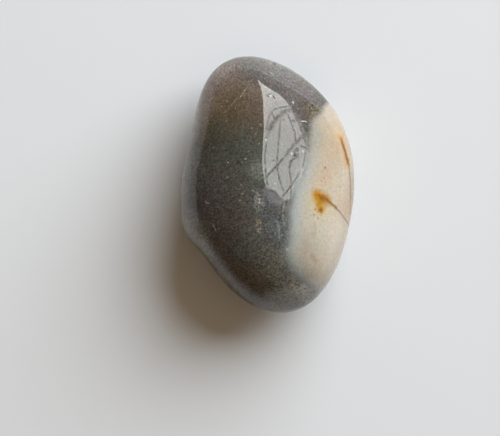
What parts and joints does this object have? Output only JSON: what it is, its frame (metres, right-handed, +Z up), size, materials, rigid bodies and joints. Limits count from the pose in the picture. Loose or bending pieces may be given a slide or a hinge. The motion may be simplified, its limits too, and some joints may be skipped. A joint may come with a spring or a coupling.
{
  "type": "tumbled agate",
  "caption": "Polished tumbled agate pebble, dark grey chalcedony with a cream band and iron stains along one side, lying on its flattest side.",
  "frame": {"origin": "on the surface that the stone lies on, below the middle of its outline seen from above", "axes": "+Z up, +Y along the stone's long side towards its blunt end, +X towards the side with the cream band"},
  "size_m": [0.0208, 0.0308, 0.0154],
  "materials": {
    "polished_chalcedony": "polished"
  },
  "bodies": {
    "root": {"agate": "polished_chalcedony"}
  },
  "joints": []
}
